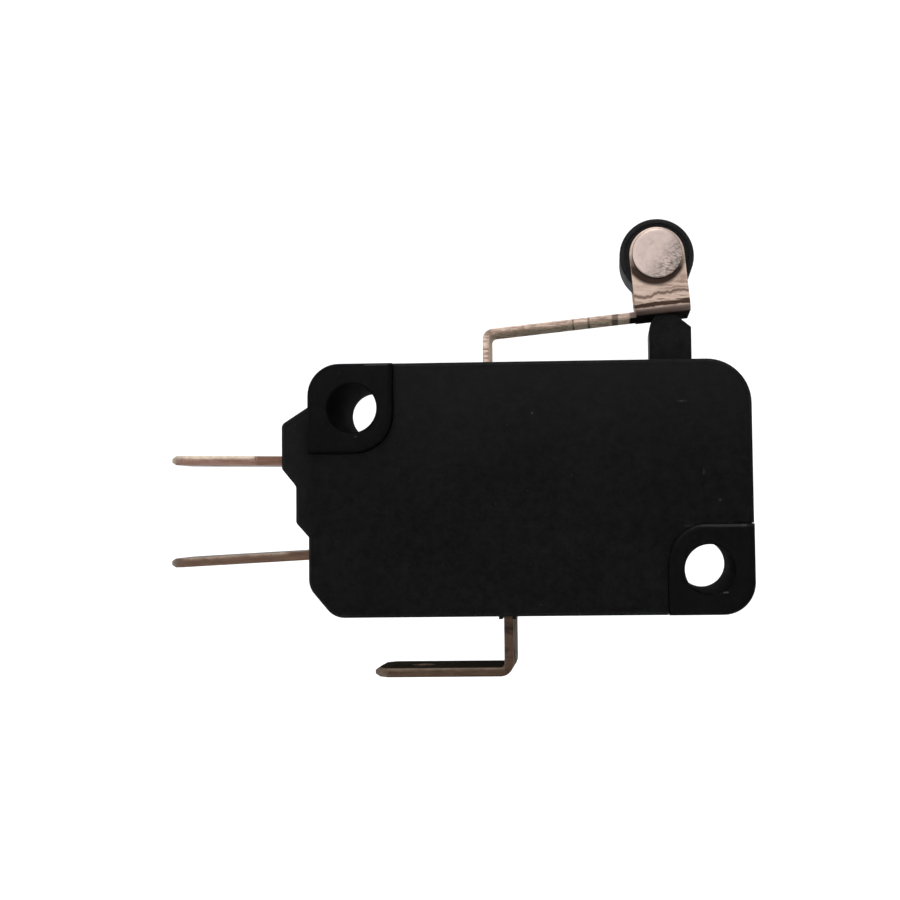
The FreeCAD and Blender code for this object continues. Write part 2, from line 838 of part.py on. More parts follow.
def plunger():
    """The plunger: rounded crown under the lever, flange under its guide, round foot on the trip lever."""
    half = plunger_width / 2
    slope = math.cos(math.radians(lever_slope))
    crown_x = plunger_x - crown_offset
    crown_top = arm_under(crown_x) - (crown_radius + touch_gap) / slope + crown_radius
    crown_lift = crown_radius / math.cos(math.radians(crown_slope)) - crown_radius
    crown_fall = math.tan(math.radians(crown_slope)) * crown_width / 2
    corner = trip_corner()
    trip_top = corner[1] + (plunger_x - corner[0]) * math.tan(math.radians(trip_slope))
    flat = math.cos(math.radians(trip_slope))
    foot = trip_top + (trip_thickness / 2 + half + touch_gap) / flat - half
    crown_edge = crown_top + crown_lift - crown_fall
    body = [
        (plunger_x - half, foot, half),
        (plunger_x + half, foot, half),
        (plunger_x + half, crown_edge - shoulder_drop, crown_edge_round),
        (crown_x + crown_width / 2, crown_edge, crown_edge_round),
        (crown_x, crown_top + crown_lift, crown_radius),
        (crown_x - crown_width / 2, crown_edge, crown_edge_round),
        (plunger_x - half, crown_edge - long_shoulder_drop, long_shoulder_round),
    ]
    half_depth = plunger_depth / 2
    flange_top = top - wall - guide_height - touch_gap
    flange = box(
        (plunger_x - half - flange_reach, plunger_x + half + flange_reach),
        (-half_depth, half_depth),
        (flange_top - flange_height, flange_top),
    )
    return prism(body, (-half_depth, half_depth)).fuse(flange).removeSplitter()


def pieces():
    """Every piece of the switch by its name."""
    diameter = fixed_contact_diameter
    return {
        "case": case(),
        "cover": cover(),
        "plunger": plunger(),
        "actuator_lever": actuator_lever(),
        "roller": roller(),
        "roller_rivet": roller_rivet(),
        "common_terminal": common_terminal(),
        "normally_closed_terminal": side_terminal(upper_tab_z, upper_arm_z(), -upper_tab_lift),
        "normally_open_terminal": side_terminal(lower_tab_z, lower_arm_z(), lower_tab_droop),
        "normally_closed_contact": contact_rivet(contact_x, upper_face_z(), upper_arm_z(), diameter),
        "normally_open_contact": contact_rivet(contact_x, lower_face_z(), lower_arm_z(), diameter),
        "moving_contact": moving_contact(),
        "contact_blade": contact_blade(),
        "trip_lever": trip_lever(),
        "snap_spring": snap_spring(),
    }


os.makedirs("parts", exist_ok=True)
for name, shape in pieces().items():
    shape.exportStep(f"parts/{name}.step")
    print(f"{name}: {len(shape.Solids)} solid, {shape.Volume:.2f} cubic millimetres, valid {shape.isValid()}")
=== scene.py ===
import json
import math

import bmesh
import bpy
from mathutils import Matrix, Vector

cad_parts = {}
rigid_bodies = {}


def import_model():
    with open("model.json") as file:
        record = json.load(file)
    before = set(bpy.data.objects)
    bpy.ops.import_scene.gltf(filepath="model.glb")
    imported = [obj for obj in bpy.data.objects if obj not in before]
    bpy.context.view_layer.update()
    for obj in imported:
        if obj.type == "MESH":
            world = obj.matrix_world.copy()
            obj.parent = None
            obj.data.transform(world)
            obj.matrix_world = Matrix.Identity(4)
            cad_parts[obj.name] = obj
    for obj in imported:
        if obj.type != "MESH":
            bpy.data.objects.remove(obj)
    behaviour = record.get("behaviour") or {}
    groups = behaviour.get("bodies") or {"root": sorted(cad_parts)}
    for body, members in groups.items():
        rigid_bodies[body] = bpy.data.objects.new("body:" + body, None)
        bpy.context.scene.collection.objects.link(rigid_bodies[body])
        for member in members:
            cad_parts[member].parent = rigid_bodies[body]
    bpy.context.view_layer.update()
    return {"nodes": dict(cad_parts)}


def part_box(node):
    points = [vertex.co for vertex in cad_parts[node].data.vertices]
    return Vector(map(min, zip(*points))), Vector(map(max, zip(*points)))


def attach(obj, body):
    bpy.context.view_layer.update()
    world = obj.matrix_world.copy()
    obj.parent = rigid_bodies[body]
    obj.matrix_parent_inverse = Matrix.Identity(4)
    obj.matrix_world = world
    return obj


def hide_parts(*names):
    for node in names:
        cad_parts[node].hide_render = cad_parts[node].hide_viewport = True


# The looks of the lever micro switch. Blender works in metres, and MM turns millimetres into them.
MM = 0.001

for thing in list(bpy.data.objects):
    bpy.data.objects.remove(thing, do_unlink=True)

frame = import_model()
nodes = frame["nodes"]

# Places on the switch, in millimetres. A place is (x, z), as seen from the front.
roller_low, roller_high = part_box("roller")
ROLLER_AXIS = ((roller_low[0] + roller_high[0]) / 2 / MM, (roller_low[2] + roller_high[2]) / 2 / MM)
LOWER_HOLE = (0.0, 0.0)
UPPER_HOLE = (-22.2, 10.3)
# A corner pad's reach past its hole, across and down, and the radius of its free corner
PAD_REACH = (2.55, 2.8)
PAD_CORNER = 2.4
# A point on the line of the arm's underside, and the slope of that line in degrees
ARM_PLACE = (-14.0, 15.1)
ARM_SLOPE = 5.7


# Materials

class Finish:
    """A node material. Its texture space is the object's own, in millimetres."""

    def __init__(self, name):
        self.material = bpy.data.materials.new(name)
        self.material.use_nodes = True
        self.tree = self.material.node_tree
        self.shader = self.tree.nodes["Principled BSDF"]
        coordinates = self.add("ShaderNodeTexCoord")
        to_mm = self.add("ShaderNodeVectorMath", operation="SCALE")
        to_mm.inputs["Scale"].default_value = 1 / MM
        self.tree.links.new(coordinates.outputs["Object"], to_mm.inputs[0])
        self.place = to_mm.outputs[0]

    def add(self, kind, **settings):
        node = self.tree.nodes.new(kind)
        for key, value in settings.items():
            setattr(node, key, value)
        return node

    def put(self, socket, value):
        """A link where the value is a socket, and a plain value otherwise."""
        if isinstance(value, bpy.types.NodeSocket):
            self.tree.links.new(value, socket)
        else:
            socket.default_value = value

    def set(self, **sockets):
        """Sets the shader's sockets, and gives the material."""
        for name, value in sockets.items():
            self.put(self.shader.inputs[name.replace("_", " ")], value)
        return self.material

    # Numbers

    def math(self, operation, a, b=0.0):
        node = self.add("ShaderNodeMath", operation=operation)
        self.put(node.inputs[0], a)
        self.put(node.inputs[1], b)
        return node.outputs[0]

    def plus(self, a, b):
        return self.math("ADD", a, b)

    def minus(self, a, b):
        return self.math("SUBTRACT", a, b)

    def times(self, a, b):
        return self.math("MULTIPLY", a, b)

    def ramp(self, value, start, end, before=0.0, after=1.0):
        """Turns a value's run from start to end into one from before to after, held past both ends."""
        node = self.add("ShaderNodeMapRange")
        self.put(node.inputs["Value"], value)
        numbers = {"From Min": start, "From Max": end, "To Min": before, "To Max": after}
        for name, number in numbers.items():
            node.inputs[name].default_value = number
        return node.outputs["Result"]

    def window(self, value, low, high, soft):
        """1 between two values, falling to 0 over a soft edge."""
        rise = self.ramp(value, low - soft, low + soft)
        fall = self.ramp(value, high - soft, high + soft, before=1.0, after=0.0)
        return self.times(rise, fall)

    def both(self, *masks):
        mask = masks[0]
        for other in masks[1:]:
            mask = self.times(mask, other)
        return mask

    def either(self, *masks):
        mask = masks[0]
        for other in masks[1:]:
            mask = self.math("MAXIMUM", mask, other)
        return mask

    # Patterns

    def stretched(self, stretch, shift):
        mapping = self.add("ShaderNodeMapping")
        self.put(mapping.inputs["Vector"], self.place)
        mapping.inputs["Scale"].default_value = stretch
        mapping.inputs["Location"].default_value = shift
        return mapping.outputs[0]

    def noise(self, per_mm, detail, rough, stretch=(1, 1, 1), shift=(0, 0, 0), warp=0.0):
        node = self.add("ShaderNodeTexNoise")
        self.put(node.inputs["Vector"], self.stretched(stretch, shift))
        node.inputs["Scale"].default_value = per_mm
        node.inputs["Detail"].default_value = detail
        node.inputs["Roughness"].default_value = rough
        node.inputs["Distortion"].default_value = warp
        return node.outputs["Fac"]

    def specks(self, per_mm, size, shift=(0, 0, 0)):
        """1 inside small scattered dots, 0 elsewhere."""
        node = self.add("ShaderNodeTexVoronoi")
        self.put(node.inputs["Vector"], self.stretched((1, 1, 1), shift))
        node.inputs["Scale"].default_value = per_mm
        return self.ramp(node.outputs["Distance"], size, size * 0.5)

    def ragged(self, value, noise, reach):
        """A value moved either way by a noise, by half of reach at most."""
        return self.plus(value, self.times(self.minus(noise, 0.5), reach))

    # Places and directions

    def axis(self, name, vector=None):
        """The object's own X, Y or Z in millimetres, or that part of another vector."""
        node = self.add("ShaderNodeSeparateXYZ")
        self.put(node.inputs[0], self.place if vector is None else vector)
        return node.outputs[name]

    def facing(self, name):
        """The surface normal's part along one of the object's axes."""
        coordinates = self.add("ShaderNodeTexCoord")
        return self.axis(name, coordinates.outputs["Normal"])

    def faces(self, name, start, end):
        """0 where the normal's part along an axis is at start, 1 where it is at end."""
        return self.ramp(self.facing(name), start, end)

    def sideways(self, start, end):
        """As faces, for the front and the back alike."""
        return self.ramp(self.math("ABSOLUTE", self.facing("Y")), start, end)

    def radial(self, place):
        """The distance in millimetres from an axis along Y."""
        flat = self.add("ShaderNodeVectorMath", operation="MULTIPLY")
        self.put(flat.inputs[0], self.place)
        flat.inputs[1].default_value = (1, 0, 1)
        node = self.add("ShaderNodeVectorMath", operation="DISTANCE")
        self.put(node.inputs[0], flat.outputs[0])
        node.inputs[1].default_value = (place[0], 0, place[1])
        return node.outputs["Value"]

    def over_line(self, place, degrees):
        """The distance in millimetres over a line in the XZ plane through a place."""
        angle = math.radians(degrees)
        node = self.add("ShaderNodeVectorMath", operation="DOT_PRODUCT")
        self.put(node.inputs[0], self.place)
        node.inputs[1].default_value = (-math.sin(angle), 0, math.cos(angle))
        shift = -math.sin(angle) * place[0] + math.cos(angle) * place[1]
        return self.minus(node.outputs["Value"], shift)

    def past_pad(self, hole, turn):
        """The distance outside a corner pad.

        Its free corner points down and right where turn is 1, and up and left where it is -1.
        """
        across = self.times(self.minus(self.axis("X"), hole[0]), turn)
        down = self.times(self.minus(self.axis("Z"), hole[1]), -turn)
        across = self.math("MAXIMUM", self.minus(across, PAD_REACH[0] - PAD_CORNER), 0.0)
        down = self.math("MAXIMUM", self.minus(down, PAD_REACH[1] - PAD_CORNER), 0.0)
        squares = self.plus(self.times(across, across), self.times(down, down))
        return self.minus(self.math("SQRT", squares), PAD_CORNER)

    # Colour and relief

    def blend(self, factor, a, b):
        """One colour mixed into another. A plain colour is (red, green, blue)."""
        node = self.add("ShaderNodeMix", data_type="RGBA")
        self.put(node.inputs["Factor"], factor)
        for socket, colour in ((node.inputs[6], a), (node.inputs[7], b)):
            if isinstance(colour, tuple):
                colour = (*colour, 1)
            self.put(socket, colour)
        return node.outputs[2]

    def paint(self, mask, colour, strength=1.0, rougher=0.0, duller=0.0):
        """Mixes a colour in where a mask is 1, rougher and less metallic where asked."""
        mask = self.times(mask, strength)
        self.colour = self.blend(mask, self.colour, colour)
        if rougher:
            self.roughness = self.plus(self.roughness, self.times(mask, rougher))
        if duller:
            self.metal = self.minus(self.metal, self.times(mask, duller))

    def bump(self, height, depth_mm, below=None):
        node = self.add("ShaderNodeBump")
        self.put(node.inputs["Height"], height)
        node.inputs["Distance"].default_value = depth_mm * MM
        node.inputs["Strength"].default_value = 1.0
        if below is not None:
            self.put(node.inputs["Normal"], below)
        return node.outputs[0]


def grey(value):
    return (value, value, value)


# The brightness of the specks in the plastic
SPECK = 0.06


class Moulded(Finish):
    """Black moulded plastic: fine grain, soft mottling, a few specks and hairline scratches."""

    def __init__(self, name, dark, light, smoothest, roughest):
        super().__init__(name)
        self.dark = dark
        self.light = light
        self.grain = self.noise(per_mm=5.5, detail=4.0, rough=0.65)
        self.mottle = self.noise(per_mm=1.6, detail=3.0, rough=0.55, shift=(3, 1, 7))
        cloud = self.noise(per_mm=0.16, detail=2.0, rough=0.5, shift=(11, 5, 2))
        tone = self.plus(self.times(self.grain, 0.55), self.times(self.mottle, 0.35))
        tone = self.plus(tone, self.times(cloud, 0.25))
        self.colour = self.blend(self.ramp(tone, 0.47, 0.68), grey(dark), grey(light))
        worn = self.plus(self.mottle, self.times(cloud, 0.6))
        self.roughness = self.ramp(worn, 0.5, 1.1, roughest, smoothest)

    def wear(self):
        """Scratches along X and along Z, and specks."""
        hair = self.noise(per_mm=1.1, detail=5.0, rough=0.7,
                          stretch=(0.35, 1.0, 4.5), shift=(2, 9, 4), warp=0.3)
        cross = self.noise(per_mm=1.0, detail=5.0, rough=0.7,
                           stretch=(3.5, 1.0, 0.4), shift=(7, 3, 1), warp=0.4)
        self.scratch = self.either(self.ramp(hair, 0.665, 0.70), self.ramp(cross, 0.67, 0.70))
        self.paint(self.scratch, grey(self.light * 2.2), strength=0.35)
        self.paint(self.specks(per_mm=0.85, size=0.028), grey(SPECK), strength=0.5)

    def close(self, specular):
        normal = self.bump(self.grain, depth_mm=0.016)
        normal = self.bump(self.mottle, depth_mm=0.02, below=normal)
        normal = self.bump(self.scratch, depth_mm=-0.004, below=normal)
        return self.set(Base_Color=self.colour, Roughness=self.roughness,
                        Specular_IOR_Level=specular, Normal=normal)


# Each pair gives where paint begins to fade in and where it is whole, in millimetres:
# along Y, on the front face and on the pads' raised faces
FRONT_FACE = (-4.7, -4.9)
PAD_FACE = (-4.95, -5.05)
# along Z for the paler tone at the top, and along X for the paler tone at the tabs
PALER_TOP = (5.5, 13.0)
PALER_TABS = (-24.6, -26.0)
# along X past the terminal block, and along Z over the lower pad
PAST_BLOCK = (-25.0, -24.8)
OVER_PAD = (1.3, 2.3)
# The radii between which the painted shade inside a hole fades out
OUT_OF_BORE = (1.58, 1.63)
# The painted shade line round the upper pad and the painted highlight line round the lower, from and to a
# distance outside each
UPPER_PAD_SHADE = (-0.20, 0.12)
LOWER_PAD_HIGHLIGHT = (-0.20, 0.02)
PAD_HIGHLIGHT_GREY = 0.006
# Rubbed marks on the front, and in the last three rows painted highlights along the pads' top edges: x, z,
# half length, half height and brightness
MARKS_AND_HIGHLIGHTS = (
    (-1.5, 10.46, 0.28, 0.05, 0.024),
    (-0.26, 6.04, 0.04, 0.16, 0.022),
    (0.72, 4.27, 0.05, 0.07, 0.030),
    (0.94, -1.42, 0.16, 0.04, 0.040),
    (-10.9, 9.83, 0.05, 0.05, 0.045),
    (-21.95, 8.50, 0.06, 0.05, 0.035),
    (0.9, 2.70, 1.4, 0.06, 0.030),
    (0.2, 2.70, 1.7, 0.05, 0.014),
    (-20.65, 12.99, 0.75, 0.04, 0.030),
)


def housing_finish():
    """Case and cover: paler towards the top and the tabs, painted shade and highlights round the pads,
    painted shade in the holes, marks on the front.
    """
    f = Moulded("housing_matte_black", dark=0.0017, light=0.0038, smoothest=0.46, roughest=0.70)
    x = f.axis("X")
    y = f.axis("Y")
    z = f.axis("Z")
    # Paler towards the top and towards the tabs
    paler_top_and_tabs = f.either(f.ramp(z, *PALER_TOP), f.ramp(x, *PALER_TABS))
    f.paint(paler_top_and_tabs, grey(f.light * 2.4), strength=0.42)
    f.paint(f.ramp(y, *PAD_FACE), grey(f.dark * 0.5), strength=0.6)
    front = f.ramp(y, *FRONT_FACE)
    # Painted shade along the upper pad's outline
    painted_shade_line = f.window(f.past_pad(UPPER_HOLE, 1.0), *UPPER_PAD_SHADE, soft=0.15)
    f.paint(f.both(front, painted_shade_line, f.ramp(x, *PAST_BLOCK)), grey(f.dark * 0.1), strength=0.8)
    # A painted highlight along the lower pad's outline
    painted_highlight_line = f.window(f.past_pad(LOWER_HOLE, -1.0), *LOWER_PAD_HIGHLIGHT, soft=0.08)
    f.paint(f.both(front, painted_highlight_line, f.ramp(z, *OVER_PAD)), grey(PAD_HIGHLIGHT_GREY), strength=0.9)
    broken = f.ramp(f.grain, 0.3, 0.5)
    # Rubbed marks, and painted highlights along the pads' top edges
    for mark_x, mark_z, half_x, half_z, brightness in MARKS_AND_HIGHLIGHTS:
        across = f.window(x, mark_x - half_x, mark_x + half_x, soft=0.05)
        upright = f.window(z, mark_z - half_z, mark_z + half_z, soft=0.03)
        f.paint(f.both(front, across, upright, broken), grey(brightness))
    f.wear()
    # Painted shade inside the bores of the holes
    for hole in (LOWER_HOLE, UPPER_HOLE):
        inside = f.ramp(f.radial(hole), *OUT_OF_BORE, before=1.0, after=0.0)
        f.paint(inside, grey(f.dark * 0.6))
        f.roughness = f.either(f.roughness, inside)
    return f.close(specular=0.03)


def plain_moulded(name, dark, light, smoothest, roughest, specular):
    f = Moulded(name, dark, light, smoothest, roughest)
    f.wear()
    return f.close(specular)


# The colour of the small pits in the metal
PIT_BLACK = (0.03, 0.025, 0.02)


class Strip(Finish):
    """Drawn and stamped metal strip. Its stains, painted shade and painted light are mixed in by masks, and
    close() sets the shader.
    """

    def __init__(self, name, base, worn, streak, smoothest, roughest):
        super().__init__(name)
        self.streaks = self.noise(per_mm=3.0, detail=5.0, rough=0.65, stretch=streak)
        self.blotch = self.noise(per_mm=0.9, detail=4.0, rough=0.6, shift=(4, 8, 1), warp=0.4)
        self.fine = self.noise(per_mm=7.0, detail=3.0, rough=0.6, shift=(1, 2, 3))
        self.colour = self.blend(self.ramp(self.streaks, 0.35, 0.68), base, worn)
        self.roughness = self.ramp(self.streaks, 0.3, 0.7, smoothest, roughest)
        self.metal = 1.0

    def tarnish(self, share, colour, strength):
        """Blotches where the noise is over a share."""
        self.paint(self.ramp(self.blotch, share, share + 0.12), colour, strength, rougher=0.15, duller=0.2)

    def pit(self):
        """Small dark dots, broken up by the fine noise."""
        dots = self.specks(per_mm=1.7, size=0.10, shift=(5, 2, 9))
        self.paint(self.both(dots, self.ramp(self.fine, 0.45, 0.55)), PIT_BLACK, strength=0.3)

    def close(self):
        normal = self.bump(self.streaks, depth_mm=0.008)
        normal = self.bump(self.fine, depth_mm=0.006, below=normal)
        return self.set(Base_Color=self.colour, Roughness=self.roughness, Metallic=self.metal,
                        Specular_IOR_Level=0.0, Normal=normal)


# Along X, where the fork takes over from the arm, where the tan band on the arm's lower edge begins, and
# where the short painted reflection line and the painted reflection streaks on the fork come in
FORK_START = (-4.75, -4.6)
EDGE_START = (-13.5, -13.2)
SHORT_LINE_START = (-3.2, -1.6)
REFLECTION_STREAK_START = (-3.6, -1.8)
# On the fork and the arm, from and to a height over the arm's line: painted reflection lines and bands, the
# foot's painted shade, painted reflection streaks and the arm's tan lower edge
LONG_LINE = (1.16, 1.34)
SHORT_LINE = (1.42, 1.52)
BEND = (0.41, 0.73)
FOOT = (-0.1, 0.40)
HIGH_REFLECTION_STREAKS = (0.75, 1.9)
LOW_REFLECTION_STREAKS = (0.65, 1.25)
LOWER_EDGE = (-0.4, 0.14)
# The painted shadow under the rivet head, a crescent: its middle and its heights count from the roller's axis
RING_SHIFT = (-0.12, -0.05)
RING_EDGE = (2.04, 1.84)
RING_BELOW = (0.2, -0.9)
# Ticks across the arm: x and half width
ARM_TICKS = ((-8.34, 0.05), (-7.33, 0.06), (-5.62, 0.20))
# Lines on the post at the lever's other end: z and half height, and the x from which they fade in
POST_LINES = ((14.2, 0.03), (13.62, 0.03))
POST_SIDE = (-13.3, -13.4)
# The lever's colours, from the darkest: painted shadow, shade and reflections, stains, grain and marks, and
# painted light on its dull underside and end faces
SHADOW = (0.006, 0.005, 0.0045)
RIVET_SHADOW_BROWN = (0.030, 0.017, 0.013)
BEND_DARK_REFLECTION = (0.030, 0.016, 0.010)
TICK_BROWN = (0.07, 0.045, 0.035)
REFLECTION_LINE_BROWN = (0.08, 0.045, 0.035)
GRAIN_BROWN = (0.11, 0.065, 0.045)
REFLECTION_AND_MARK_TAN = (0.12, 0.07, 0.055)
FOOT_SHADE_BROWN = (0.13, 0.09, 0.08)
REFLECTION_STREAK_BROWN = (0.14, 0.08, 0.06)
REFLECTION_STREAK_TAN = (0.16, 0.10, 0.08)
EDGE_TAN = (0.17, 0.12, 0.08)
BLOTCH_TAN = (0.20, 0.13, 0.10)
TOP_SHADE_TAN = (0.30, 0.235, 0.20)
GRAIN_CREAM = (0.66, 0.54, 0.44)
END_LIGHT_CREAM = (0.85, 0.68, 0.54)
UNDERSIDE_LIGHT_CREAM = (0.85, 0.70, 0.54)


def lever_finish():
    """Warm stainless strip, with painted reflections at the fork's bend, painted shadow and painted light on
    its underside, and three ticks along the arm.
    """
    f = Strip("lever_warm_steel", base=(0.53, 0.405, 0.335), worn=(0.41, 0.31, 0.255),
              streak=(0.25, 1.6, 2.4), smoothest=0.34, roughest=0.54)
    f.tarnish(share=0.60, colour=BLOTCH_TAN, strength=0.6)
    f.pit()
    x = f.axis("X")
    z = f.axis("Z")
    over = f.over_line(ARM_PLACE, ARM_SLOPE)
    slow = f.noise(per_mm=1.3, detail=2.0, rough=0.5, stretch=(1, 0.2, 0.2), shift=(3, 3, 3))
    bands = f.noise(per_mm=2.2, detail=4.0, rough=0.65, stretch=(0.35, 0.6, 2.6), shift=(5, 5, 8), warp=0.3)
    grain = f.noise(per_mm=2.6, detail=4.0, rough=0.7, stretch=(0.45, 0.6, 3.2), shift=(5, 5, 8), warp=0.3)
    fork = f.ramp(x, *FORK_START)
    arm = f.minus(1.0, fork)
    front = f.faces("Y", -0.5, -0.8)
    under = f.faces("Z", -0.55, -0.85)
    rims = f.either(f.sideways(0.5, 0.8), under)

    # On the fork, by the height over the arm's line: painted reflections, and painted shade at the foot
    # Painted reflection lines along the fork
    wavy = f.ragged(over, slow, reach=0.8)
    long_line = f.window(wavy, *LONG_LINE, soft=0.06)
    f.paint(f.both(fork, long_line), REFLECTION_LINE_BROWN, strength=0.85)
    short_line = f.window(wavy, *SHORT_LINE, soft=0.06)
    f.paint(f.both(fork, short_line, f.ramp(x, *SHORT_LINE_START)), REFLECTION_AND_MARK_TAN, strength=0.8)
    # A dark painted reflection band along the bend
    bend = f.window(f.ragged(over, bands, reach=0.5), *BEND, soft=0.04)
    f.paint(f.both(fork, bend), BEND_DARK_REFLECTION, strength=0.97, duller=1.0)
    # Painted shade at the fork's foot, where the bend turns down
    foot = f.window(over, *FOOT, soft=0.08)
    f.paint(f.both(fork, foot), FOOT_SHADE_BROWN, strength=0.85, rougher=0.2)
    # Streaks of painted reflection, high and low on the fork
    high_reflection_streaks = f.both(fork, f.window(over, *HIGH_REFLECTION_STREAKS, soft=0.15), f.ramp(x, *REFLECTION_STREAK_START))
    f.paint(f.both(high_reflection_streaks, f.ramp(bands, 0.52, 0.60)), REFLECTION_STREAK_BROWN, strength=0.75)
    low_reflection_streaks = f.both(fork, f.window(over, *LOW_REFLECTION_STREAKS, soft=0.1))
    f.paint(f.both(low_reflection_streaks, f.ramp(bands, 0.55, 0.62)), REFLECTION_STREAK_TAN, strength=0.6)

    # Painted shadow under the rivet head, as a crescent
    ring_middle = (ROLLER_AXIS[0] + RING_SHIFT[0], ROLLER_AXIS[1] + RING_SHIFT[1])
    ring = f.ramp(f.radial(ring_middle), *RING_EDGE)
    below = f.ramp(z, ROLLER_AXIS[1] + RING_BELOW[0], ROLLER_AXIS[1] + RING_BELOW[1])
    f.paint(f.both(front, below, ring), RIVET_SHADOW_BROWN, strength=0.97, rougher=0.3, duller=1.0)

    # On the arm
    # Painted shade on the lever's top faces
    f.paint(f.faces("Z", 0.5, 0.9), TOP_SHADE_TAN, strength=0.6, rougher=0.12)
    lower_edge = f.window(f.ragged(over, f.streaks, reach=0.35), *LOWER_EDGE, soft=0.04)
    f.paint(f.both(arm, lower_edge, f.ramp(x, *EDGE_START)), EDGE_TAN, strength=0.85)
    # Painted light on the arm's underside
    f.paint(f.both(arm, under), UNDERSIDE_LIGHT_CREAM, strength=1.0, rougher=0.5, duller=1.0)
    # Painted light on the arm's faces that look along X
    f.paint(f.both(arm, f.faces("X", 0.5, 0.9)), END_LIGHT_CREAM, strength=0.95, rougher=0.5, duller=1.0)
    f.paint(f.both(arm, rims, f.ramp(grain, 0.52, 0.60)), GRAIN_BROWN, strength=0.65)
    f.paint(f.both(arm, rims, f.ramp(grain, 0.43, 0.36)), GRAIN_CREAM, strength=0.5)
    for tick_x, half in ARM_TICKS:
        tick = f.window(x, tick_x - half, tick_x + half, soft=0.03)
        f.paint(f.both(arm, f.either(front, under), tick), TICK_BROWN, strength=0.75)
    for line_z, half in POST_LINES:
        line = f.window(z, line_z - half, line_z + half, soft=0.03)
        f.paint(f.both(front, f.ramp(x, *POST_SIDE), line), REFLECTION_AND_MARK_TAN, strength=0.8)

    fork_underside = f.both(fork, f.faces("Z", -0.8, -0.97))
    f.paint(fork_underside, SHADOW, strength=0.97, rougher=0.3, duller=1.0)
    return f.close()


# The rivet's stains, and the painted shade on its side wall
RIVET_BLOTCH = (0.33, 0.28, 0.25)
CORNER_GREY = (0.25, 0.215, 0.195)
CORNER_BROWN = (0.11, 0.088, 0.076)
WALL_SHADE_BLACK = (0.02, 0.012, 0.009)


def rivet_finish():
    """Dull rivet steel, mottled towards the lower right, with painted shade on its side wall."""
    f = Strip("rivet_worn_steel", base=(0.50, 0.40, 0.365), worn=(0.44, 0.355, 0.325),
              streak=(1, 1, 1), smoothest=0.38, roughest=0.55)
    f.tarnish(share=0.60, colour=RIVET_BLOTCH, strength=0.6)
    slant = -0.8
    aside = f.plus(f.axis("X"), f.times(f.axis("Z"), slant))
    middle = ROLLER_AXIS[0] + slant * ROLLER_AXIS[1]
    corner = f.ramp(aside, middle - 0.1, middle + 1.5)
    streak = f.noise(per_mm=4.2, detail=4.0, rough=0.7, stretch=(1.0, 1.0, 2.0), shift=(9, 1, 5), warp=0.3)
    f.paint(f.both(corner, f.ramp(f.blotch, 0.36, 0.54)), CORNER_GREY, strength=0.8)
    f.paint(f.both(corner, f.ramp(streak, 0.46, 0.56)), CORNER_BROWN, strength=0.8, rougher=0.2)
    # Painted shade on the head's side wall
    side_wall = f.sideways(0.6, 0.3)
    f.paint(side_wall, WALL_SHADE_BLACK, strength=0.98, rougher=0.5, duller=1.0)
    return f.close()


# Along X, where the bent tab's upright part begins
TAB_BEND = (-13.2, -12.9)
# The tabs' stains and the pale metal of their rubbed edges, and the painted shade of a shaded tab
TAB_BLOTCH = (0.09, 0.06, 0.045)
TAB_FLAT = (0.10, 0.075, 0.06)
TAB_HALO = (0.30, 0.22, 0.18)
TAB_CREAM = (0.53, 0.44, 0.34)
TAB_TIP = (0.42, 0.36, 0.28)
TAB_ROOT = (0.08, 0.038, 0.022)
TAB_NOTCH = (0.08, 0.055, 0.04)
TOP_SHADE = (0.035, 0.030, 0.022)
END_SHADE = (0.11, 0.10, 0.08)
BEND_SHADE = (0.012, 0.010, 0.009)


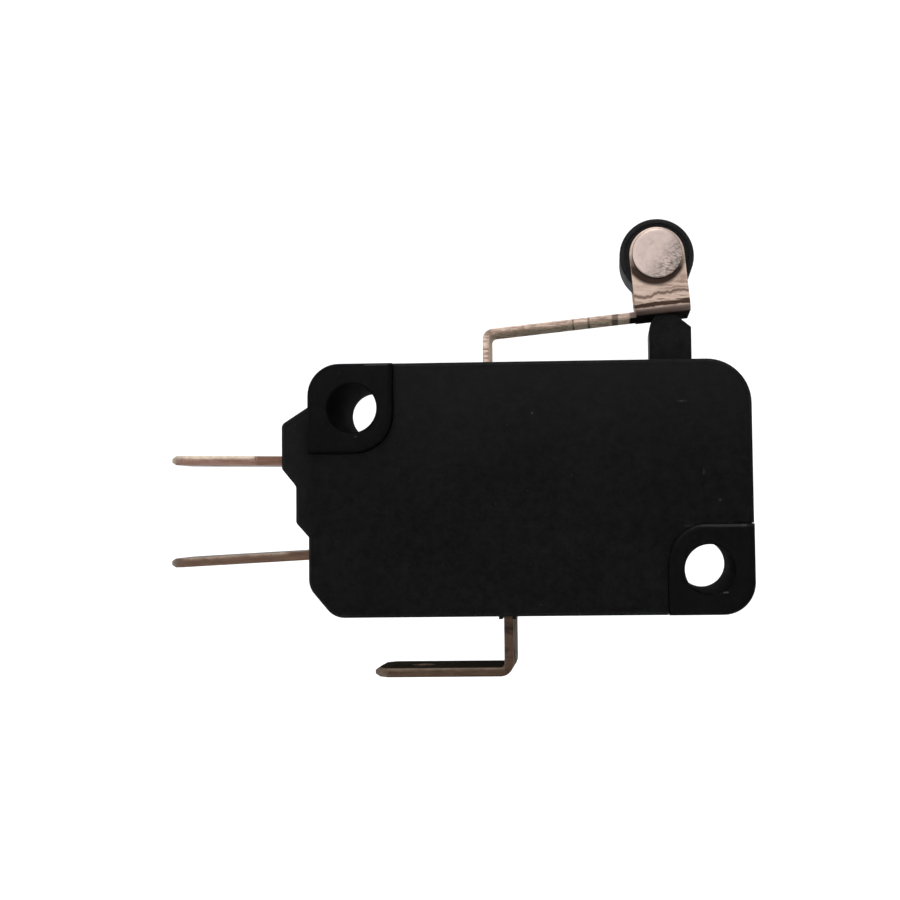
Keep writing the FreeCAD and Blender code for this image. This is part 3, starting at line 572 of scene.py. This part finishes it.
def tab_finish(name, base, worn, tip, root, slope,
               rub_start, rub_end, rub_height, rub_wave, cream, shaded=False):
    """Tarnished brass tab: dark flats, brown cut edges and a rubbed pale line on part of the edge.

    The free end is at the x of tip. Heights count from a line through root, on a slope in degrees. The pale
    line goes from rub_start to rub_end in x, at rub_height, uneven by rub_wave. Its brightness is cream. A
    shaded tab is dark on top and at its bend.
    """
    f = Strip(name, base, worn, streak=(0.22, 1.5, 2.0), smoothest=0.36, roughest=0.58)
    f.tarnish(share=0.56, colour=TAB_BLOTCH, strength=0.6)
    f.pit()
    x = f.axis("X")
    over = f.over_line(root, slope)
    flat = f.sideways(0.75, 0.45)
    edge = f.minus(1.0, flat)
    f.paint(flat, TAB_FLAT, strength=0.75, rougher=0.1, duller=0.2)

    rubbed = f.both(edge, f.window(x, rub_start, rub_end, soft=0.2))
    wave = f.noise(per_mm=2.0, detail=4.0, rough=0.7, stretch=(0.8, 1.0, 1.0))
    height = f.ragged(over, wave, reach=rub_wave)
    patches = f.noise(per_mm=3.0, detail=3.0, rough=0.6, stretch=(1.0, 1.0, 0.5), shift=(6, 2, 4))
    halo = f.ramp(height, rub_height - 0.12, rub_height - 0.06)
    f.paint(f.both(rubbed, halo), TAB_HALO, strength=cream * 0.7)
    line = f.ramp(height, rub_height - 0.03, rub_height + 0.03)
    uneven = f.ramp(patches, 0.35, 0.6, before=0.65)
    f.paint(f.both(rubbed, line, uneven), TAB_CREAM, strength=cream)
    f.paint(f.ramp(x, tip + 0.45, tip + 0.1), TAB_TIP, strength=cream * 0.7)
    f.paint(f.both(edge, f.ramp(x, rub_end, rub_end + 0.15)), TAB_ROOT, strength=cream * 0.4)
    notch = f.both(edge, f.window(x, rub_end - 0.02, rub_end + 0.05, soft=0.03), f.ramp(over, -0.1, 0.0))
    f.paint(notch, TAB_NOTCH, strength=cream * 0.8)

    if shaded:
        f.paint(f.faces("Z", 0.6, 0.85), TOP_SHADE, strength=0.97, rougher=0.4, duller=1.0)
        f.paint(f.faces("X", 0.6, 0.85), END_SHADE, strength=0.95, rougher=0.4, duller=1.0)
        bend = f.both(f.ramp(x, *TAB_BEND), f.ramp(f.blotch, 0.5, 0.62))
        f.paint(bend, BEND_SHADE, strength=0.8)
    return f.close()


def plain_strip(name, base, worn, stain, streak):
    """Metal of the inner pieces."""
    f = Strip(name, base, worn, streak, smoothest=0.28, roughest=0.5)
    f.tarnish(share=0.60, colour=stain, strength=0.75)
    f.pit()
    return f.close()


housing = housing_finish()
plunger_black = plain_moulded("plunger_satin_black", dark=0.0026, light=0.006,
                              smoothest=0.40, roughest=0.56, specular=0.05)
roller_black = plain_moulded("roller_satin_black", dark=0.008, light=0.014,
                             smoothest=0.50, roughest=0.70, specular=0.03)
lever_steel = lever_finish()
rivet_steel = rivet_finish()
closed_brass = tab_finish("closed_tab_brass", base=(0.215, 0.132, 0.104), worn=(0.150, 0.088, 0.064),
                          tip=-34.55, root=(-25.0, 7.15), slope=-0.9,
                          rub_start=-34.4, rub_end=-28.9, rub_height=0.08, rub_wave=0.2, cream=1.0)
open_brass = tab_finish("open_tab_brass", base=(0.110, 0.070, 0.050), worn=(0.078, 0.048, 0.034),
                        tip=-34.55, root=(-25.0, 1.05), slope=2.7,
                        rub_start=-33.6, rub_end=-26.8, rub_height=0.22, rub_wave=0.3, cream=0.3)
common_brass = tab_finish("common_tab_brass", base=(0.064, 0.041, 0.028), worn=(0.046, 0.029, 0.020),
                          tip=-20.7, root=(-21.0, -6.45), slope=0.0,
                          rub_start=-20.5, rub_end=-13.0, rub_height=0.18, rub_wave=0.3, cream=0.12,
                          shaded=True)
contact_silver = plain_strip("contact_dull_silver", base=(0.75, 0.74, 0.72), worn=(0.6, 0.59, 0.57),
                             stain=(0.35, 0.32, 0.29), streak=(1, 1, 1))
blade_copper = plain_strip("blade_copper", base=(0.70, 0.42, 0.25), worn=(0.55, 0.31, 0.18),
                           stain=(0.25, 0.13, 0.07), streak=(0.25, 1.5, 2))
inner_steel = plain_strip("inner_spring_steel", base=(0.55, 0.55, 0.56), worn=(0.42, 0.42, 0.43),
                          stain=(0.2, 0.18, 0.16), streak=(0.3, 1.5, 2))

finishes = {
    "case": housing,
    "cover": housing,
    "plunger": plunger_black,
    "roller": roller_black,
    "actuator_lever": lever_steel,
    "roller_rivet": rivet_steel,
    "common_terminal": common_brass,
    "normally_closed_terminal": closed_brass,
    "normally_open_terminal": open_brass,
    "normally_closed_contact": contact_silver,
    "normally_open_contact": contact_silver,
    "moving_contact": contact_silver,
    "contact_blade": blade_copper,
    "trip_lever": inner_steel,
    "snap_spring": inner_steel,
}
for name, finish in finishes.items():
    for place in nodes[name].material_slots:
        place.material = finish


# Rounded edges on the carried-over solids: the width in millimetres for each node

EDGE_WIDTHS = {
    "case": 0.04,
    "cover": 0.04,
    "plunger": 0.08,
    "actuator_lever": 0.05,
    "common_terminal": 0.05,
    "normally_closed_terminal": 0.05,
    "normally_open_terminal": 0.05,
}
# Corners nearer than this in millimetres are joined, and edges sharper than this in degrees are rounded.
WELD_REACH = 0.002
SHARP_FROM = 28
ROUND_SEGMENTS = 2


def soften(node, width_mm):
    """Joins the split corners of a solid's mesh and rounds its sharp edges."""
    weld = node.modifiers.new("weld", "WELD")
    weld.merge_threshold = WELD_REACH * MM
    bevel = node.modifiers.new("round", "BEVEL")
    bevel.width = width_mm * MM
    bevel.segments = ROUND_SEGMENTS
    bevel.limit_method = "ANGLE"
    bevel.angle_limit = math.radians(SHARP_FROM)
    bevel.use_clamp_overlap = True
    normals = node.modifiers.new("normals", "WEIGHTED_NORMAL")
    normals.keep_sharp = False


for name, width_mm in EDGE_WIDTHS.items():
    soften(nodes[name], width_mm)


# Roller and rivet, turned with finer edges

TURNED_SIDES = 96
TURNED_SHARP_FROM = 35
ARC_STEPS = 5


def turned(name, node, body, finish, profile, ring=False):
    """A piece of (radius, y) points in millimetres, turned about the roller's axis, that stands for a node.

    A ring's profile closes on itself. Any other begins and ends on the axis.
    """
    mesh = bmesh.new()
    loops = []
    for radius, y in profile:
        if radius == 0:
            loops.append([mesh.verts.new((ROLLER_AXIS[0] * MM, y * MM, ROLLER_AXIS[1] * MM))])
            continue
        loop = []
        for index in range(TURNED_SIDES):
            angle = 2 * math.pi * index / TURNED_SIDES
            x = ROLLER_AXIS[0] + radius * math.cos(angle)
            z = ROLLER_AXIS[1] + radius * math.sin(angle)
            loop.append(mesh.verts.new((x * MM, y * MM, z * MM)))
        loops.append(loop)
    pairs = list(zip(loops, loops[1:]))
    if ring:
        pairs.append((loops[-1], loops[0]))
    for first, second in pairs:
        for index in range(TURNED_SIDES):
            after = (index + 1) % TURNED_SIDES
            corners = [first[index % len(first)], first[after % len(first)]]
            corners += [second[after % len(second)], second[index % len(second)]]
            mesh.faces.new(list(dict.fromkeys(corners)))
    bmesh.ops.recalc_face_normals(mesh, faces=mesh.faces)
    data = bpy.data.meshes.new(name)
    mesh.to_mesh(data)
    mesh.free()
    data.shade_smooth()
    data.set_sharp_from_angle(angle=math.radians(TURNED_SHARP_FROM))
    data.materials.append(finish)
    piece = bpy.data.objects.new(name, data)
    bpy.context.scene.collection.objects.link(piece)
    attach(piece, body)
    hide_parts(node)


def arc(middle, size, start, end):
    """Points of an arc in the (radius, y) plane."""
    points = []
    for index in range(ARC_STEPS + 1):
        angle = math.radians(start + (end - start) * index / ARC_STEPS)
        points.append((middle[0] + size * math.cos(angle), middle[1] + size * math.sin(angle)))
    return points


def roller_profile():
    """The roller's section, with a hub ring and a shallow groove at each end."""
    inset = 0.002
    radius = (roller_high[0] - roller_low[0]) / 2 / MM - inset
    end = roller_low[1] / MM
    bore, chamfer, ease = 0.85, 0.12, 0.3
    groove = end + 0.09
    half = [(bore, end + chamfer), (bore + chamfer, end)]
    half += [(1.86, end), (1.90, groove), (2.05, groove), (2.08, end + 0.02)]
    half += arc((radius - ease, end + ease), ease, 285, 360)
    other = [(radius, -y) for radius, y in reversed(half)]
    return half + other


def rivet_profile():
    """The rivet from its front head to its formed tail, which has a dish in it."""
    lowest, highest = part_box("roller_rivet")
    front, back = lowest[1] / MM, highest[1] / MM
    head, head_height = 1.6, 0.6
    tail, tail_height = 1.3, 0.4
    shank, ease = 0.8, 0.2
    profile = [(0, front), (0.9, front + 0.01), (1.25, front + 0.03)]
    profile += arc((head - ease, front + ease), ease, 295, 360)
    profile += [(head, front + head_height), (shank, front + head_height)]
    profile += [(shank, back - tail_height), (tail, back - tail_height)]
    profile += arc((tail - ease, back - ease), ease, 0, 80)
    dish = [(0.45, back - 0.01), (0.3, back - 0.12), (0, back - 0.15)]
    return profile + dish


turned("roller_turned", "roller", "roller", roller_black, roller_profile(), ring=True)
turned("rivet_turned", "roller_rivet", "lever", rivet_steel, rivet_profile())


# Stage, light and camera, in metres. The lights aim at the middle of the switch.

MIDDLE = (-0.012, 0, 0.006)
FLOOR_HEIGHT = -0.032
FLOOR_RADIUS = 0.30
RIM_RADIUS = 0.22
RIM_STEPS = 16
WALL_TOP = 0.60
STAGE_SIDES = 96


def studio():
    """A pale floor whose rim rises all round into a wall."""
    profile = [(FLOOR_RADIUS, FLOOR_HEIGHT)]
    for index in range(1, RIM_STEPS + 1):
        angle = math.radians(90 * index / RIM_STEPS)
        out = FLOOR_RADIUS + RIM_RADIUS * math.sin(angle)
        profile.append((out, FLOOR_HEIGHT + RIM_RADIUS * (1 - math.cos(angle))))
    profile.append((FLOOR_RADIUS + RIM_RADIUS, WALL_TOP))
    mesh = bmesh.new()
    centre = mesh.verts.new((MIDDLE[0], 0, FLOOR_HEIGHT))
    loops = []
    for radius, z in profile:
        loop = []
        for index in range(STAGE_SIDES):
            angle = 2 * math.pi * index / STAGE_SIDES
            loop.append(mesh.verts.new((MIDDLE[0] + radius * math.cos(angle), radius * math.sin(angle), z)))
        loops.append(loop)
    for index in range(STAGE_SIDES):
        mesh.faces.new((centre, loops[0][index], loops[0][(index + 1) % STAGE_SIDES]))
    for first, second in zip(loops, loops[1:]):
        for index in range(STAGE_SIDES):
            after = (index + 1) % STAGE_SIDES
            mesh.faces.new((first[index], second[index], second[after], first[after]))
    data = bpy.data.meshes.new("studio_floor")
    mesh.to_mesh(data)
    mesh.free()
    data.shade_smooth()
    floor = bpy.data.objects.new("studio_floor", data)
    bpy.context.scene.collection.objects.link(floor)
    paper = Finish("studio_paper")
    fibre = paper.noise(per_mm=0.8, detail=3.0, rough=0.5)
    shade = paper.blend(paper.ramp(fibre, 0.3, 0.7), grey(0.90), grey(0.93))
    data.materials.append(paper.set(
        Base_Color=shade, Roughness=0.9, Specular_IOR_Level=0.1,
        Emission_Color=(1, 1, 1, 1), Emission_Strength=0.16,
    ))


def area_light(name, place, size, energy):
    data = bpy.data.lights.new(name, "AREA")
    data.size = size
    data.energy = energy
    light = bpy.data.objects.new(name, data)
    light.location = place
    light.rotation_euler = (Vector(MIDDLE) - Vector(place)).to_track_quat("-Z", "Y").to_euler()
    bpy.context.scene.collection.objects.link(light)


studio()
area_light("key_light", (-0.05, -0.12, 0.32), size=0.16, energy=0.75)
area_light("fill_light", (-0.22, -0.26, 0.12), size=0.26, energy=0.18)
area_light("rim_light", (0.03, 0.22, 0.30), size=0.20, energy=0.25)

world = bpy.data.worlds.new("studio_air")
bpy.context.scene.world = world
world.use_nodes = True
air = world.node_tree.nodes["Background"]
air.inputs["Color"].default_value = (0.96, 0.98, 1.0, 1)
air.inputs["Strength"].default_value = 0.62

# The photograph's lens stood about 100 mm in front of the case and right of its middle.
CAMERA_PLACE = (-5.9 * MM, -105.0 * MM, 4.1 * MM)
CAMERA_PAN = 2.5
CAMERA_TILT = 93.65
CAMERA_ROLL = -0.7

camera_data = bpy.data.cameras.new("photo_camera")
camera_data.lens = 64.3
camera_data.shift_x = -0.102
camera_data.shift_y = -0.053
camera_data.clip_start = 0.002
camera_data.clip_end = 5.0
camera = bpy.data.objects.new("photo_camera", camera_data)
bpy.context.scene.collection.objects.link(camera)
turn = Matrix.Rotation(math.radians(CAMERA_PAN), 4, "Z") @ Matrix.Rotation(math.radians(CAMERA_TILT), 4, "X")
turn = turn @ Matrix.Rotation(math.radians(CAMERA_ROLL), 4, "Z")
camera.matrix_world = Matrix.Translation(CAMERA_PLACE) @ turn
bpy.context.scene.camera = camera
bpy.context.scene.view_settings.view_transform = "Standard"
